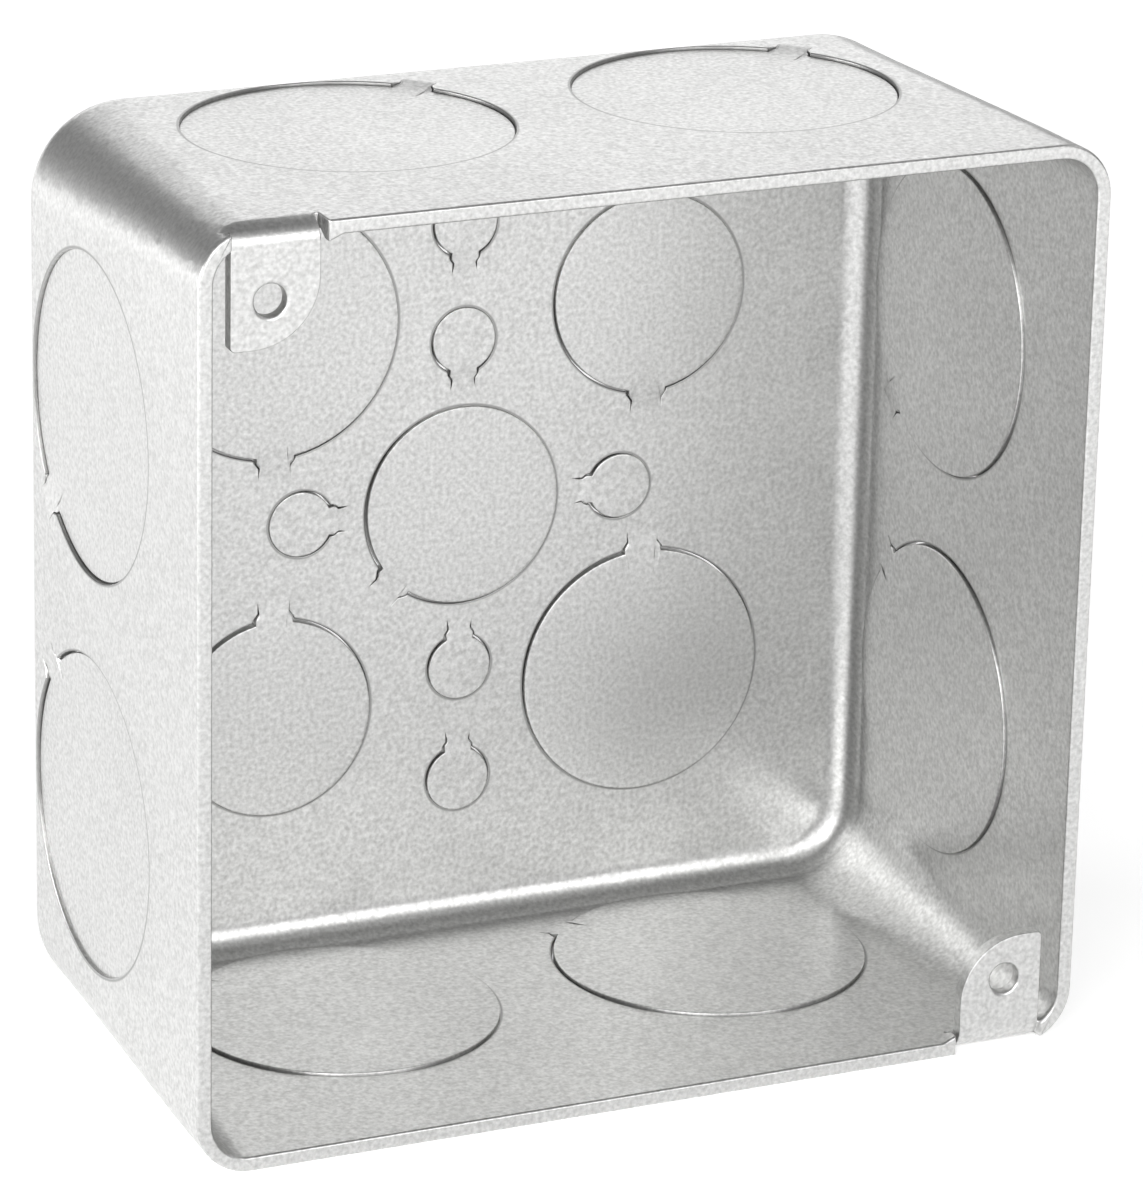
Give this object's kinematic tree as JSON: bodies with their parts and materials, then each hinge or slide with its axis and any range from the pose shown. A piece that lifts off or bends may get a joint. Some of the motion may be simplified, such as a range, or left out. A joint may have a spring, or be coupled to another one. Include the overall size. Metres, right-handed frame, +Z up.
{
  "type": "electrical junction box",
  "caption": "Square drawn steel junction box, open in front, with folded cover-screw ears in two corners and hinged knockout slugs in its walls and back.",
  "frame": {"origin": "centre of the back's outer face", "axes": "+Y out of the back, so the box opens towards -Y; +Z up and +X to the right as seen from the open front"},
  "size_m": [0.1016, 0.054, 0.1016],
  "materials": {
    "galvanised_sheet": "galvanised, satin, with a fine grain",
    "galvanised_slug": "galvanised, satin, with a fine grain"
  },
  "bodies": {
    "box": {"box_shell": "galvanised_sheet"},
    "top_left_slug": {"top_left_knockout": "galvanised_slug"},
    "top_right_slug": {"top_right_knockout": "galvanised_slug"},
    "left_upper_slug": {"left_upper_knockout": "galvanised_slug"},
    "left_lower_slug": {"left_lower_knockout": "galvanised_slug"},
    "bottom_right_slug": {"bottom_right_knockout": "galvanised_slug"},
    "bottom_left_slug": {"bottom_left_knockout": "galvanised_slug"},
    "right_upper_slug": {"right_upper_knockout": "galvanised_slug"},
    "right_lower_slug": {"right_lower_knockout": "galvanised_slug"},
    "back_upper_left_slug": {"back_upper_left_knockout": "galvanised_slug"},
    "back_upper_right_slug": {"back_upper_right_knockout": "galvanised_slug"},
    "back_lower_left_slug": {"back_lower_left_knockout": "galvanised_slug"},
    "back_lower_right_slug": {"back_lower_right_knockout": "galvanised_slug"},
    "back_centre_slug": {"back_centre_knockout": "galvanised_slug"},
    "top_screw_slug": {"top_screw_knockout": "galvanised_slug"},
    "upper_screw_slug": {"upper_screw_knockout": "galvanised_slug"},
    "lower_screw_slug": {"lower_screw_knockout": "galvanised_slug"},
    "bottom_screw_slug": {"bottom_screw_knockout": "galvanised_slug"},
    "left_screw_slug": {"left_screw_knockout": "galvanised_slug"},
    "right_screw_slug": {"right_screw_knockout": "galvanised_slug"}
  },
  "joints": [
    {"name": "top_left_tie", "type": "hinge", "parent": "box", "child": "top_left_slug", "pos_m": [-0.00884, -0.00864, 0.05], "axis": [0.7071, -0.7071, 0], "range_deg": [-70, 20]},
    {"name": "top_right_tie", "type": "hinge", "parent": "box", "child": "top_right_slug", "pos_m": [0.03556, -0.00864, 0.05], "axis": [0.7071, -0.7071, 0], "range_deg": [-70, 20]},
    {"name": "left_upper_tie", "type": "hinge", "parent": "box", "child": "left_upper_slug", "pos_m": [-0.05, -0.00864, 0.00884], "axis": [0, 0.7071, 0.7071], "range_deg": [-70, 20]},
    {"name": "left_lower_tie", "type": "hinge", "parent": "box", "child": "left_lower_slug", "pos_m": [-0.05, -0.00864, -0.00884], "axis": [0, -0.7071, 0.7071], "range_deg": [-70, 20]},
    {"name": "bottom_right_tie", "type": "hinge", "parent": "box", "child": "bottom_right_slug", "pos_m": [0.00884, -0.00864, -0.05], "axis": [-0.7071, -0.7071, 0], "range_deg": [-70, 20]},
    {"name": "bottom_left_tie", "type": "hinge", "parent": "box", "child": "bottom_left_slug", "pos_m": [-0.03556, -0.00864, -0.05], "axis": [-0.7071, -0.7071, 0], "range_deg": [-70, 20]},
    {"name": "right_upper_tie", "type": "hinge", "parent": "box", "child": "right_upper_slug", "pos_m": [0.05, -0.00864, 0.00884], "axis": [0, -0.7071, -0.7071], "range_deg": [-70, 20]},
    {"name": "right_lower_tie", "type": "hinge", "parent": "box", "child": "right_lower_slug", "pos_m": [0.05, -0.00864, -0.00884], "axis": [0, 0.7071, -0.7071], "range_deg": [-70, 20]},
    {"name": "back_upper_left_tie", "type": "hinge", "parent": "box", "child": "back_upper_left_slug", "pos_m": [-0.0222, -0.0008, 0.00645], "axis": [1, 0, 0], "range_deg": [-70, 60]},
    {"name": "back_upper_right_tie", "type": "hinge", "parent": "box", "child": "back_upper_right_slug", "pos_m": [0.0222, -0.0008, 0.00935], "axis": [1, 0, 0], "range_deg": [-70, 60]},
    {"name": "back_lower_left_tie", "type": "hinge", "parent": "box", "child": "back_lower_left_slug", "pos_m": [-0.0222, -0.0008, -0.00935], "axis": [-1, 0, 0], "range_deg": [-70, 60]},
    {"name": "back_lower_right_tie", "type": "hinge", "parent": "box", "child": "back_lower_right_slug", "pos_m": [0.0222, -0.0008, -0.00645], "axis": [-1, 0, 0], "range_deg": [-70, 60]},
    {"name": "back_centre_tie", "type": "hinge", "parent": "box", "child": "back_centre_slug", "pos_m": [-0.00909, -0.0008, -0.00909], "axis": [0.7071, 0, -0.7071], "range_deg": [-70, 60]},
    {"name": "top_screw_tie", "type": "hinge", "parent": "box", "child": "top_screw_slug", "pos_m": [0, -0.0008, 0.02753], "axis": [1, 0, 0], "range_deg": [-70, 60]},
    {"name": "upper_screw_tie", "type": "hinge", "parent": "box", "child": "upper_screw_slug", "pos_m": [0, -0.0008, 0.01418], "axis": [1, 0, 0], "range_deg": [-70, 60]},
    {"name": "lower_screw_tie", "type": "hinge", "parent": "box", "child": "lower_screw_slug", "pos_m": [0, -0.0008, -0.01418], "axis": [-1, 0, 0], "range_deg": [-70, 60]},
    {"name": "bottom_screw_tie", "type": "hinge", "parent": "box", "child": "bottom_screw_slug", "pos_m": [0, -0.0008, -0.02753], "axis": [-1, 0, 0], "range_deg": [-70, 60]},
    {"name": "left_screw_tie", "type": "hinge", "parent": "box", "child": "left_screw_slug", "pos_m": [-0.01418, -0.0008, 0], "axis": [0, 0, 1], "range_deg": [-70, 60]},
    {"name": "right_screw_tie", "type": "hinge", "parent": "box", "child": "right_screw_slug", "pos_m": [0.01418, -0.0008, 0], "axis": [0, 0, -1], "range_deg": [-70, 60]}
  ]
}
